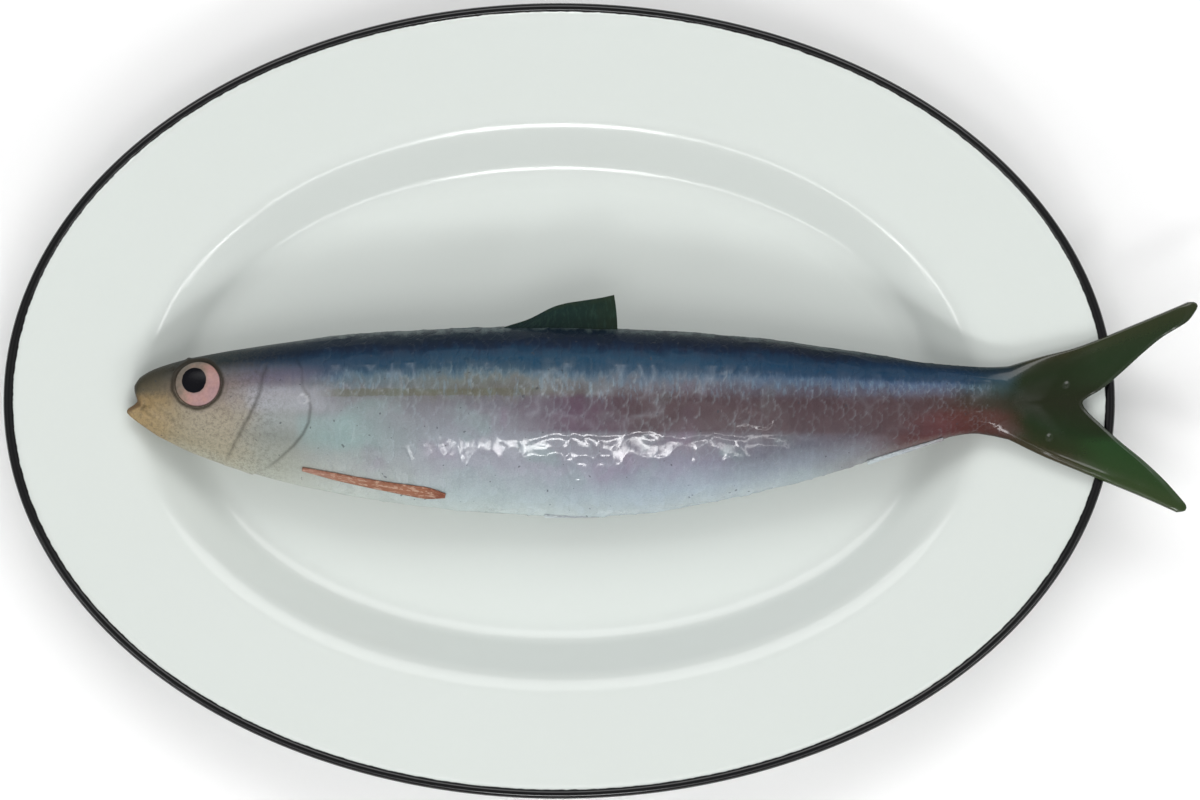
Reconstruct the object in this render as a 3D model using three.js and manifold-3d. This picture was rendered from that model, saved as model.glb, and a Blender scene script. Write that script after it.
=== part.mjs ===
// A whole herring lying on an oval enamelled plate.
// Millimetres, +Z up. The origin is the middle of the plate's flat underside. The plate is long
// along X. The fish lies on its right side, its head towards -X and its back towards +Y.

import * as THREE from 'three';
import { mergeVertices } from 'three/addons/utils/BufferGeometryUtils.js';
import Module from 'manifold-3d';

// ---- Driving dimensions: the plate ----

const PLATE_LENGTH = 300;
const PLATE_WIDTH = 215.8;
const PLATE_HEIGHT = 18;
const SHEET = 1.2;               // pressed steel with its enamel
const BEAD_RADIUS = 1.3;         // rolled rim
const INSET_STRETCH = 1.1;       // an inset of 1 across the plate is 1.1 along it
const WELL_FOOT = [44.6, SHEET / 2];       // inset and height where the wall meets the floor
const SHOULDER = [31.2, 11.7];             // inset and height where the flange turns down
const FOOT_REACH = 4.5;          // length of sheet that each corner's curve takes
const SHOULDER_REACH = 4;
const PLATE_SIDES = 64;

// ---- Driving dimensions: the fish ----

const GAP = 0.3;                 // left between pieces that touch
const FLOOR_TOP = SHEET + GAP;   // the fish's lowest skin
const FLATTENING = 1.2;          // height over which the lower flank eases onto the floor
const SNOUT_X = -116.6;
const TAIL_ROOT_X = 121;
const TAIL_FORK = [140.9, -0.8];
const FISH_Y = -0.6;              // the whole fish lies this far from the plate's middle line
const BODY_STATIONS = 36;
const BODY_SIDES = 24;
const BACK_ROUNDNESS = 0.44;     // exponents of the section towards the back and the belly
const BELLY_ROUNDNESS = 0.66;

// Each line is a list of [x, value], joined by a smooth curve.
const BACK_LINE = smooth([
  [-116.6, -2.7], [-115.8, 0.2], [-114.4, 4.1], [-112.6, 6.6], [-107.7, 9.2], [-96.9, 12.1],
  [-75.3, 15.7], [-53.7, 18.2], [-15.9, 20], [11, 19.7], [48.9, 17.4], [81, 13], [102.9, 9.8],
  [113.7, 9], [121, 9.2],
]);
const BELLY_LINE = smooth([
  [-116.6, -3.3], [-115.8, -4.2], [-112.6, -6.6], [-107.7, -9.8], [-96.9, -14.8], [-75.3, -21.6],
  [-53.7, -26], [-32.1, -29.3], [5, -31.6], [27.3, -30.1], [59.7, -23.3], [92.1, -13.6],
  [102.9, -10.3], [112.5, -8.9], [121, -10.6],
]);
const HALF_THICKNESS = smooth([
  [-116.6, 0.5], [-115.8, 1.5], [-112.6, 3.4], [-107, 5.6], [-97, 8.4], [-86, 10.6], [-68, 12.8],
  [-45, 14], [-15, 14.5], [30, 13.6], [60, 11.6], [90, 7.9], [108, 5.2], [121, 3.5],
]);
const MIDDLE_HEIGHT = smooth([
  [-116.6, 15.8], [-97, 14.5], [-75, 14.2], [-45, 14.9], [0, 14.9], [60, 15], [100, 15.6],
  [118, 16.9], [148, 20], [172, 22],
]);
const ROLL_DEGREES = smooth([[-116, 4], [-75, 9], [-30, 14], [40, 14], [90, 7], [121, 0]]);

const EYE_X = -97.5;
const EYE_TURN = 1.12;           // angle round the section from the middle of the back
const EYE_RADIUS = 7;
const EYE_HALF_DEPTH = 2.4;
const EYE_SUNK = 1.2;

const MOUTH_CORNER = [-105.5, -5];
const MOUTH_FRONT = [-118.5, 0.4];
const MOUTH_GAPE = 1.5;

const DORSAL_BASE = [-16.7, 15.7];
const DORSAL_HEIGHT = smooth([
  [-16.7, 0.1], [-14.3, 0.5], [-8, 2.4], [-1.9, 5.5], [1.5, 6.6], [5.7, 7.4], [11, 8.4],
  [15.7, 9.5],
]);
const DORSAL_LEAN = THREE.MathUtils.degToRad(10);
const DORSAL_ROOT_DEPTH = 3;

const FIN_HALF_THICKNESS = 0.45;
const FIN_LIFT = GAP + FIN_HALF_THICKNESS + 0.15;

// A folded fin lies on the skin: where it starts and ends along the fish, how far round the
// section its middle is at each end, and its half width at the root, at the middle and near the tip.
const PECTORAL = { from: -69, to: -30.8, turns: [2.33, 2.5], widths: [0.8, 1.1, 1.3] };
const PELVIC = { from: -4, to: 13, turns: [2.84, 2.94], widths: [0.9, 1.1, 0.8] };
const ANAL = { from: 74, to: 102, turns: [2.86, 2.9], widths: [0.8, 1, 0.7] };

// The tail fin's edges, each from the root outwards, as [x, y].
const TAIL_UPPER_EDGE = path([
  [121.3, 9.1], [129.9, 11.7], [140.7, 14.4], [156.9, 20.9], [169.2, 26.1],
]);
const TAIL_LOWER_EDGE = path([
  [121.3, -10.6], [129.9, -15.2], [140.7, -19.8], [156.9, -26.6], [165.7, -30.6],
]);
const TAIL_UPPER_TRAIL = path([
  [169.2, 26.1], [171.9, 25], [170.4, 22.3], [162.3, 16.6], [151.5, 7.3], [143.8, 1.5], TAIL_FORK,
]);
const TAIL_LOWER_TRAIL = path([
  TAIL_FORK, [143.4, -4.6], [151.5, -12], [162.3, -21.7], [168.3, -28.9], [168, -30.2],
  [165.7, -30.6],
]);
const TAIL_EDGE_HALF = 0.9;      // half thickness along the leading edges
const TAIL_TRAIL_HALF = 0.45;    // and along the trailing edge

// ---- Curves ----

// A smooth curve through [x, value] points, read at any x between them.
function smooth(points) {
  const slope = (i) => {
    const a = points[Math.max(i - 1, 0)];
    const b = points[Math.min(i + 1, points.length - 1)];
    return (b[1] - a[1]) / (b[0] - a[0]);
  };
  return (x) => {
    const last = points.length - 2;
    const i = Math.min(Math.max(points.findIndex((p) => p[0] > x) - 1, 0), last);
    const at = x >= points[last + 1][0] ? last : i;
    const [x0, y0] = points[at];
    const [x1, y1] = points[at + 1];
    const span = x1 - x0;
    const t = THREE.MathUtils.clamp((x - x0) / span, 0, 1);
    const rise = (1 + 2 * t) * (1 - t) ** 2 * y0 + t * t * (3 - 2 * t) * y1;
    return rise + span * (t * (1 - t) ** 2 * slope(at) - t * t * (1 - t) * slope(at + 1));
  };
}

// A smooth plane curve through [x, y] points, read by its share of length from 0 to 1.
function path(points) {
  const curve = new THREE.SplineCurve(points.map(([x, y]) => new THREE.Vector2(x, y)));
  return (share) => curve.getPointAt(THREE.MathUtils.clamp(share, 0, 1));
}

function mix(a, b, t) {
  return a + (b - a) * t;
}

// ---- Meshes ----

function indexed(vertices, triangles) {
  const geometry = new THREE.BufferGeometry().setFromPoints(vertices);
  geometry.setIndex(triangles);
  geometry.computeVertexNormals();
  return geometry;
}

// Closed rings joined in order, with a point closing each end.
function loft(first, rings, last) {
  const sides = rings[0].length;
  const vertices = [first, ...rings.flat(), last];
  const triangles = [];
  const at = (ring, side) => 1 + ring * sides + (side % sides);
  for (let side = 0; side < sides; side += 1) {
    triangles.push(0, at(0, side + 1), at(0, side));
    for (let ring = 0; ring < rings.length - 1; ring += 1) {
      triangles.push(at(ring, side), at(ring, side + 1), at(ring + 1, side + 1));
      triangles.push(at(ring, side), at(ring + 1, side + 1), at(ring + 1, side));
    }
    triangles.push(vertices.length - 1, at(rings.length - 1, side), at(rings.length - 1, side + 1));
  }
  return indexed(vertices, triangles);
}

// A thin sheet of the given half thickness about the middle surface middle(u, v), u and v
// going from 0 to 1, closed along its four edges.
function membrane(columns, rows, middle, halfThickness) {
  const step = 1e-3;
  const faceUp = [];
  const faceDown = [];
  for (let i = 0; i <= columns; i += 1) {
    for (let j = 0; j <= rows; j += 1) {
      const u = i / columns;
      const v = j / rows;
      const du = middle(Math.min(u + step, 1), v).sub(middle(Math.max(u - step, 0), v));
      const dv = middle(u, Math.min(v + step, 1)).sub(middle(u, Math.max(v - step, 0)));
      const offset = du.cross(dv).setLength(halfThickness(u, v));
      faceUp.push(middle(u, v).add(offset));
      faceDown.push(middle(u, v).sub(offset));
    }
  }
  const under = faceUp.length;
  const at = (i, j) => i * (rows + 1) + j;
  const triangles = [];
  const quad = (a, b, c, d) => triangles.push(a, b, c, a, c, d);
  for (let i = 0; i < columns; i += 1) {
    for (let j = 0; j < rows; j += 1) {
      const corners = [at(i, j), at(i + 1, j), at(i + 1, j + 1), at(i, j + 1)];
      quad(...corners);
      quad(...corners.reverse().map((corner) => corner + under));
    }
    quad(at(i, 0), at(i, 0) + under, at(i + 1, 0) + under, at(i + 1, 0));
    quad(at(i + 1, rows), at(i + 1, rows) + under, at(i, rows) + under, at(i, rows));
  }
  for (let j = 0; j < rows; j += 1) {
    quad(at(0, j + 1), at(0, j + 1) + under, at(0, j) + under, at(0, j));
    const [near, far] = [at(columns, j), at(columns, j + 1)];
    quad(near, near + under, far + under, far);
  }
  return indexed([...faceUp, ...faceDown], triangles);
}

// ---- Solids, for cuts between pieces ----

const wasm = await Module();
wasm.setup();

function toSolid(geometry) {
  const bare = geometry.clone();
  bare.deleteAttribute('normal');
  bare.deleteAttribute('uv');
  const merged = mergeVertices(bare, 1e-4);
  return new wasm.Manifold(new wasm.Mesh({
    numProp: 3,
    vertProperties: new Float32Array(merged.attributes.position.array),
    triVerts: new Uint32Array(merged.index.array),
  }));
}

function toGeometry(solid) {
  const { vertProperties, triVerts } = solid.getMesh();
  const geometry = new THREE.BufferGeometry();
  geometry.setAttribute('position', new THREE.BufferAttribute(vertProperties, 3));
  geometry.setIndex(new THREE.BufferAttribute(triVerts, 1));
  geometry.computeVertexNormals();
  return geometry;
}

// ---- The plate ----

// The middle of the sheet from the floor outwards, as inset and height.
function sheetMiddle() {
  const floor = new THREE.Vector2(...WELL_FOOT).add(new THREE.Vector2(FOOT_REACH, 0));
  const foot = new THREE.Vector2(...WELL_FOOT);
  const shoulder = new THREE.Vector2(...SHOULDER);
  const bead = new THREE.Vector2(BEAD_RADIUS, PLATE_HEIGHT - BEAD_RADIUS);
  const toward = (from, to, reach) => to.clone().sub(from).setLength(reach).add(from);
  const corner = (before, at, after, reach, steps) => new THREE.QuadraticBezierCurve(
    toward(at, before, reach), at, toward(at, after, reach),
  ).getPoints(steps);
  return [
    ...corner(floor, foot, shoulder, FOOT_REACH, 3),
    ...corner(foot, shoulder, bead, SHOULDER_REACH, 3),
    toward(bead, shoulder, BEAD_RADIUS * 1.4),
  ];
}

// The sheet's closed outline, from the top of the floor round the bead to the underside.
function plateOutline() {
  const middle = sheetMiddle();
  const side = (sign) => middle.map((point, i) => {
    const along = middle[Math.min(i + 1, middle.length - 1)].clone();
    along.sub(middle[Math.max(i - 1, 0)]).normalize();
    const across = new THREE.Vector2(along.y, -along.x);
    return across.multiplyScalar((sign * SHEET) / 2).add(point);
  });
  const bead = [];
  for (let degrees = 40; degrees <= 320; degrees += 40) {
    const angle = THREE.MathUtils.degToRad(degrees);
    const spot = new THREE.Vector2(Math.cos(angle), Math.sin(angle)).multiplyScalar(BEAD_RADIUS);
    bead.push(spot.add(new THREE.Vector2(BEAD_RADIUS, PLATE_HEIGHT - BEAD_RADIUS)));
  }
  return [...side(1), ...bead, ...side(-1).reverse()];
}

function plateGeometry() {
  const rings = plateOutline().map(({ x: inset, y: height }) => {
    const ring = [];
    for (let side = 0; side < PLATE_SIDES; side += 1) {
      const angle = (-2 * Math.PI * side) / PLATE_SIDES;
      const x = (PLATE_LENGTH / 2 - INSET_STRETCH * inset) * Math.cos(angle);
      const y = (PLATE_WIDTH / 2 - inset) * Math.sin(angle);
      ring.push(new THREE.Vector3(x, y, height));
    }
    return ring;
  });
  return loft(new THREE.Vector3(0, 0, SHEET), rings, new THREE.Vector3(0, 0, 0));
}

// ---- The fish's body ----

// How wide the section is at a share of its half height, from 1 at the back to -1 at the belly.
function sectionWidth(share) {
  const shape = (v) => (1 - v) ** BACK_ROUNDNESS * (1 + v) ** BELLY_ROUNDNESS;
  const widest = (BELLY_ROUNDNESS - BACK_ROUNDNESS) / (BELLY_ROUNDNESS + BACK_ROUNDNESS);
  return shape(share) / shape(widest);
}

// A point of the skin. turn goes from 0 at the middle of the back through a half circle at the
// belly, by way of the left flank, which is the upper one, and back by the right one.
function skin(x, turn, grow = 0) {
  const roll = THREE.MathUtils.degToRad(ROLL_DEGREES(x));
  const middle = (BACK_LINE(x) + BELLY_LINE(x)) / 2;
  const halfHeight = (BACK_LINE(x) - BELLY_LINE(x)) / 2 + grow;
  const up = halfHeight * Math.cos(turn);
  const side = Math.sign(Math.sin(turn)) * (HALF_THICKNESS(x) + grow);
  const out = side * sectionWidth(Math.cos(turn));
  const y = middle + up * Math.cos(roll) - out * Math.sin(roll);
  const z = MIDDLE_HEIGHT(x) + up * Math.sin(roll) + out * Math.cos(roll);
  const lowest = FLOOR_TOP - grow;
  const eased = lowest + FLATTENING * Math.exp((z - lowest) / FLATTENING - 1);
  return new THREE.Vector3(x, y, z < lowest + FLATTENING ? eased : z);
}

function skinNormal(x, turn) {
  const step = 0.01;
  const along = skin(x + step, turn).sub(skin(x - step, turn));
  const round = skin(x, turn + step).sub(skin(x, turn - step));
  return round.cross(along).normalize();
}

function bodySolid(grow) {
  const rings = [];
  for (let station = 1; station <= BODY_STATIONS; station += 1) {
    const share = (station / BODY_STATIONS) ** 1.35;
    const x = mix(SNOUT_X, TAIL_ROOT_X, share);
    const ring = [];
    for (let side = 0; side < BODY_SIDES; side += 1) {
      ring.push(skin(x, (2 * Math.PI * side) / BODY_SIDES, grow));
    }
    rings.push(ring);
  }
  const nose = skin(SNOUT_X, Math.PI / 2).lerp(skin(SNOUT_X, -Math.PI / 2), 0.5);
  const last = rings[rings.length - 1];
  const root = last[0].clone().lerp(last[BODY_SIDES / 2], 0.5);
  return toSolid(loft(nose.setX(SNOUT_X - grow), rings, root));
}

// The slightly open mouth is a wedge from its corner to beyond the tip of the jaws.
function mouthSolid() {
  const [backX, backY] = MOUTH_CORNER;
  const [frontX, frontY] = MOUTH_FRONT;
  const wedge = new THREE.Shape([
    new THREE.Vector2(backX, backY),
    new THREE.Vector2(frontX, frontY + MOUTH_GAPE / 2),
    new THREE.Vector2(frontX, frontY - MOUTH_GAPE / 2),
  ]);
  const geometry = new THREE.ExtrudeGeometry(wedge, { depth: PLATE_HEIGHT * 2, bevelEnabled: false });
  return toSolid(geometry);
}

// ---- Eyes ----

function eyePlace(turn) {
  const outward = skinNormal(EYE_X, turn);
  return {
    position: skin(EYE_X, turn).addScaledVector(outward, -EYE_SUNK),
    quaternion: new THREE.Quaternion().setFromUnitVectors(new THREE.Vector3(0, 0, 1), outward),
  };
}

function eyeGeometry(grow) {
  const flat = (EYE_HALF_DEPTH + grow) / (EYE_RADIUS + grow);
  return new THREE.SphereGeometry(EYE_RADIUS + grow, 20, 10).rotateX(Math.PI / 2).scale(1, 1, flat);
}

function eyeSocket({ position, quaternion }) {
  const socket = eyeGeometry(GAP).applyQuaternion(quaternion);
  return toSolid(socket.translate(...position));
}

// ---- Fins ----

function caudalFin() {
  const middle = (u, v) => {
    const root = new THREE.Vector2(TAIL_ROOT_X + GAP, mix(9.1, -10.6, u));
    const tip = u < 0.5 ? TAIL_UPPER_TRAIL(u * 2) : TAIL_LOWER_TRAIL(u * 2 - 1);
    const straight = root.clone().lerp(tip, v);
    const upperBow = TAIL_UPPER_EDGE(v).y - mix(9.1, 26.1, v);
    const lowerBow = TAIL_LOWER_EDGE(v).y - mix(-10.6, -30.6, v);
    straight.y += upperBow * Math.max(1 - 3 * u, 0) + lowerBow * Math.max(3 * u - 2, 0);
    return new THREE.Vector3(straight.x, straight.y, MIDDLE_HEIGHT(straight.x));
  };
  const half = (u, v) => {
    const edge = Math.max(TAIL_EDGE_HALF - 3 * Math.min(u, 1 - u), 0) * (1 - v);
    const root = (HALF_THICKNESS(TAIL_ROOT_X) - 1) * Math.sin(Math.PI * u) * (1 - v) ** 2;
    return TAIL_TRAIL_HALF + edge + root;
  };
  return membrane(24, 8, middle, half);
}

function dorsalFin() {
  const middle = (u, v) => {
    const x = mix(...DORSAL_BASE, u);
    const height = mix(-DORSAL_ROOT_DEPTH, DORSAL_HEIGHT(x), v);
    const ridge = skin(x, 0);
    ridge.y += height * Math.cos(DORSAL_LEAN);
    ridge.z += height * Math.sin(DORSAL_LEAN);
    return ridge;
  };
  const whole = toSolid(membrane(12, 3, middle, () => FIN_HALF_THICKNESS));
  return toGeometry(whole.subtract(bodySolid(GAP)));
}

// A folded fin on the left flank, or on the right one where side is -1.
function foldedFin({ from, to, turns, widths }, side) {
  const middle = (u, v) => {
    const x = mix(from, to, u);
    const width = u < 0.5 ? mix(widths[0], widths[1], 2 * u) : mix(widths[1], widths[2], 2 * u - 1);
    const halfHeight = (BACK_LINE(x) - BELLY_LINE(x)) / 2;
    const turn = side * (mix(...turns, u) + ((v - 0.5) * 2 * width) / halfHeight);
    return skin(x, turn).addScaledVector(skinNormal(x, turn), FIN_LIFT);
  };
  return membrane(10, 2, middle, () => FIN_HALF_THICKNESS);
}

// ---- The object ----

const object = new THREE.Group();
object.name = 'fish_on_plate';
const fish = new THREE.Group();
fish.name = 'fish';
fish.position.y = FISH_Y;
object.add(fish);

function add(parent, name, geometry, color, roughness, metalness = 0, place = {}) {
  const material = new THREE.MeshStandardMaterial({ color, roughness, metalness });
  const mesh = new THREE.Mesh(geometry, material);
  mesh.name = name;
  if (place.position) mesh.position.copy(place.position);
  if (place.quaternion) mesh.quaternion.copy(place.quaternion);
  parent.add(mesh);
}

const leftEye = eyePlace(EYE_TURN);
const rightEye = eyePlace(-EYE_TURN);
const body = bodySolid(0)
  .subtract(mouthSolid())
  .subtract(eyeSocket(leftEye))
  .subtract(eyeSocket(rightEye));

add(object, 'plate', plateGeometry(), 0xe3e6e4, 0.2, 0.1);
add(fish, 'fish_body', toGeometry(body), 0x6d7a86, 0.3);
add(fish, 'caudal_fin', caudalFin(), 0x2f3428, 0.35);
add(fish, 'dorsal_fin', dorsalFin(), 0x203834, 0.35);
add(fish, 'anal_fin', foldedFin(ANAL, 1), 0x9a9596, 0.35);
add(fish, 'pectoral_fin_left', foldedFin(PECTORAL, 1), 0xb5805f, 0.35);
add(fish, 'pectoral_fin_right', foldedFin(PECTORAL, -1), 0xb5805f, 0.35);
add(fish, 'pelvic_fin_left', foldedFin(PELVIC, 1), 0xc9d0d2, 0.35);
add(fish, 'pelvic_fin_right', foldedFin(PELVIC, -1), 0xc9d0d2, 0.35);
add(fish, 'eye_left', eyeGeometry(0), 0xc49a92, 0.15, 0, leftEye);
add(fish, 'eye_right', eyeGeometry(0), 0xc49a92, 0.15, 0, rightEye);

export default object;
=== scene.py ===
"""Looks of a whole herring on an oval enamelled plate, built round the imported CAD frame.

Lengths are in millimetres until a mesh is made, which turns them into metres. The fish lies on its
right side, its head towards -X and its back towards +Y. Places on its skin are given as x and the
height y that they have seen from above on the upper, left flank; the right flank mirrors them.
"""
import math
from types import SimpleNamespace

import bpy
import numpy as np
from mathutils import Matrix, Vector


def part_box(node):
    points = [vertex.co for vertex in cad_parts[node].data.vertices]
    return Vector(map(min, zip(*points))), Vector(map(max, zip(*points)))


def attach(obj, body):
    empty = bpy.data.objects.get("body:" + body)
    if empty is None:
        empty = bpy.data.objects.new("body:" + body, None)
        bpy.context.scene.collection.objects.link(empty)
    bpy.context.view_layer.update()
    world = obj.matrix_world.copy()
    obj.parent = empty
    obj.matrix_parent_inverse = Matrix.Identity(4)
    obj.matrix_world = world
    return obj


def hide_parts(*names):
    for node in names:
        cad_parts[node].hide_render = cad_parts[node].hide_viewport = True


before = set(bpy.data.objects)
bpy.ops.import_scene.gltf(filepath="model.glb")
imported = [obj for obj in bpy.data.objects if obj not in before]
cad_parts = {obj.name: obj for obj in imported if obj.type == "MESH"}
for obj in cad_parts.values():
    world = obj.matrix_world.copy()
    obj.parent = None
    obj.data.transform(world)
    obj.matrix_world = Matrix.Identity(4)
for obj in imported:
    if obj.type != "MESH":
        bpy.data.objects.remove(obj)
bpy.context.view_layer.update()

MM = 0.001
SEED = 7


def box_mm(node):
    """The low and high corners of a node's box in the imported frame."""
    low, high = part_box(node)
    return np.array(low) / MM, np.array(high) / MM


PLATE_HIGH = box_mm("plate")[1]
BODY_LOW, BODY_HIGH = box_mm("fish_body")

# ---- curves and noise


def smooth(points):
    """A smooth curve through (x, value) points, read at arrays of x."""
    xs, ys = np.array(points, float).T
    slopes = np.empty_like(ys)
    slopes[1:-1] = (ys[2:] - ys[:-2]) / (xs[2:] - xs[:-2])
    slopes[0] = (ys[1] - ys[0]) / (xs[1] - xs[0])
    slopes[-1] = (ys[-1] - ys[-2]) / (xs[-1] - xs[-2])

    def read(x):
        x = np.clip(x, xs[0], xs[-1])
        i = np.clip(np.searchsorted(xs, x, side="right") - 1, 0, len(xs) - 2)
        span = xs[i + 1] - xs[i]
        t = (x - xs[i]) / span
        rise = (1 + 2 * t) * (1 - t) ** 2 * ys[i] + t * t * (3 - 2 * t) * ys[i + 1]
        return rise + span * (t * (1 - t) ** 2 * slopes[i] - t * t * (1 - t) * slopes[i + 1])

    return read


def path(points):
    """A smooth plane curve through points, read by its share of length from 0 to 1."""
    points = np.array(points, float)
    steps = np.append(0, np.cumsum(np.linalg.norm(np.diff(points, axis=0), axis=1)))
    by_length = [smooth(np.column_stack([steps / steps[-1], points[:, k]])) for k in (0, 1)]
    return lambda share: np.stack([axis(share) for axis in by_length], axis=-1)


def mix(a, b, t):
    return a + (b - a) * t


def ease(low, high, x):
    """0 below low, 1 above high and smooth between them."""
    t = np.clip((x - low) / (high - low), 0, 1)
    return t * t * (3 - 2 * t)


def plateau(start, full, fading, end, x):
    """1 from full to fading, 0 before start and after end, and smooth between."""
    return ease(start, full, x) * (1 - ease(fading, end, x))


def hump(distance, reach):
    """1 at no distance, dying away over about the reach."""
    return np.exp(-(distance / reach) ** 2)


def far_from(point, x, y, stretch=(1.0, 1.0)):
    """Distance from a point, with each direction counted in its own stretch."""
    return np.hypot((x - point[0]) / stretch[0], (y - point[1]) / stretch[1])


def lattice(*whole):
    """A random number from 0 to 1 for each whole-numbered point."""
    mixed = sum(np.asarray(w, float) * k for w, k in zip(whole, (127.1, 311.7, 74.7)))
    return np.mod(np.sin(mixed + SEED) * 43758.5453, 1.0)


def noise(x, y, z=0.0):
    """Smooth noise from -1 to 1, with features about 1 across."""
    x, y, z = np.broadcast_arrays(x, y, z)
    fx, fy, fz = np.floor(x), np.floor(y), np.floor(z)
    tx, ty, tz = (t * t * (3 - 2 * t) for t in (x - fx, y - fy, z - fz))
    total = 0
    for i in (0, 1):
        for j in (0, 1):
            for k in (0, 1):
                weight = (tx if i else 1 - tx) * (ty if j else 1 - ty) * (tz if k else 1 - tz)
                total = total + weight * lattice(fx + i, fy + j, fz + k)
    return total * 2 - 1


def distance_to(line, x, y):
    """Distance from each point to a line of (x, y) points, and the share of the line there."""
    line = np.array(line, float)
    lengths = np.linalg.norm(np.diff(line, axis=0), axis=1)
    starts = np.append(0, np.cumsum(lengths))
    best = np.full(np.shape(x), np.inf)
    share = np.zeros(np.shape(x))
    for (ax, ay), (bx, by), start, length in zip(line, line[1:], starts, lengths):
        t = np.clip(((x - ax) * (bx - ax) + (y - ay) * (by - ay)) / length**2, 0, 1)
        far = np.hypot(x - mix(ax, bx, t), y - mix(ay, by, t))
        share = np.where(far < best, (start + t * length) / starts[-1], share)
        best = np.minimum(best, far)
    return best, share


# ---- meshes


def make_mesh(name, vertices, faces, attributes=None, shift_y=0.0):
    """A smooth-shaded object from millimetre vertices, with one float attribute a name."""
    mesh = bpy.data.meshes.new(name)
    mesh.from_pydata(((np.asarray(vertices) + (0, shift_y, 0)) * MM).tolist(), [], faces)
    mesh.polygons.foreach_set("use_smooth", [True] * len(mesh.polygons))
    for key, values in (attributes or {}).items():
        layer = mesh.attributes.new(key, "FLOAT", "POINT")
        layer.data.foreach_set("value", np.asarray(values, np.float32).ravel())
    mesh.validate()
    piece = bpy.data.objects.new(name, mesh)
    bpy.context.scene.collection.objects.link(piece)
    return piece


def ring_faces(rings, sides):
    """Quads between closed rings of vertices stored one ring after another."""
    faces = []
    for ring in range(rings - 1):
        for side in range(sides):
            after = (side + 1) % sides
            near, far = ring * sides, (ring + 1) * sides
            faces.append((near + side, near + after, far + after, far + side))
    return faces


def sheet_faces(columns, rows):
    """Faces of a thin closed sheet: a grid of upper vertices, then the same grid below."""
    under = columns * rows
    faces = []
    for i in range(columns - 1):
        for j in range(rows - 1):
            a, b = i * rows + j, (i + 1) * rows + j
            faces.append((a, b, b + 1, a + 1))
            faces.append((a + 1 + under, b + 1 + under, b + under, a + under))
    edge = [(i * rows, (i + 1) * rows) for i in range(columns - 1)]
    last = (columns - 1) * rows
    edge += [(last + j, last + j + 1) for j in range(rows - 1)]
    edge += [((i + 1) * rows + rows - 1, i * rows + rows - 1) for i in range(columns - 1)]
    edge += [(j + 1, j) for j in range(rows - 1)]
    return faces + [(b, a, a + under, b + under) for a, b in edge]


# ---- the fish's form

FISH_Y = -0.6             # the whole fish lies this far from the plate's middle line
FLOOR_TOP = 1.5
FLATTENING = 1.2
BACK_ROUNDNESS, BELLY_ROUNDNESS = 0.44, 0.66
SNOUT_X, TAIL_ROOT_X = BODY_LOW[0], BODY_HIGH[0]

BACK_LINE = smooth([
    (-116.6, -2.7), (-115.8, 0.2), (-114.4, 4.1), (-112.6, 6.6), (-107.7, 9.2), (-96.9, 12.1),
    (-75.3, 15.7), (-53.7, 18.2), (-15.9, 20), (11, 19.7), (48.9, 17.4), (81, 13), (102.9, 9.8),
    (113.7, 9), (121, 9.2),
])
BELLY_LINE = smooth([
    (-116.6, -3.3), (-115.8, -4.2), (-112.6, -6.6), (-107.7, -9.8), (-96.9, -14.8),
    (-75.3, -21.6), (-53.7, -26), (-32.1, -29.3), (5, -31.6), (27.3, -30.1), (59.7, -23.3),
    (92.1, -13.6), (102.9, -10.3), (112.5, -8.9), (121, -10.6),
])
HALF_THICKNESS = smooth([
    (-116.6, 0.5), (-115.8, 1.5), (-112.6, 3.4), (-107, 5.6), (-97, 8.4), (-86, 10.6),
    (-68, 12.8), (-45, 14), (-15, 14.5), (30, 13.6), (60, 11.6), (90, 7.9), (108, 5.2),
    (121, 3.5),
])
MIDDLE_HEIGHT = smooth([
    (-116.6, 15.8), (-97, 14.5), (-75, 14.2), (-45, 14.9), (0, 14.9), (60, 15), (100, 15.6),
    (118, 16.9), (148, 20), (172, 22),
])
ROLL_DEGREES = smooth([(-116, 4), (-75, 9), (-30, 14), (40, 14), (90, 7), (121, 0)])

# How far the front of the head stands back from the body's even nose, by height: the open mouth
# between the short upper jaw and the longer lower one.
JAW_SETBACK = smooth([
    (-3.4, 0), (-2.7, 0.4), (-2.1, 1.7), (-1.6, 2.6), (-0.6, 2.4), (0.8, 1.5), (2.4, 0.5), (4, -0.2),
])

TAIL_FORK = (140.9, -0.8)
TAIL_UPPER_EDGE = path([(121, 9.2), (129.9, 11.7), (140.7, 14.4), (156.9, 20.9), (169.2, 26.1)])
TAIL_LOWER_EDGE = path([
    (121, -10.6), (129.9, -15.2), (140.7, -19.8), (156.9, -26.6), (165.7, -30.6),
])
TAIL_TRAIL = path([
    (169.2, 26.1), (171.2, 26), (171.9, 25), (170.4, 22.3), (168.8, 20.6), (162.3, 16.6),
    (156.9, 12.2), (151.5, 7.3), (146.1, 2.8), (142.4, 0.6), TAIL_FORK, (142, -3), (146.1, -7.1),
    (151.5, -12), (156.9, -16.5), (162.3, -21.7), (166.6, -26.6), (168.3, -28.9), (168, -30.2),
    (165.7, -30.6),
])

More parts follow.
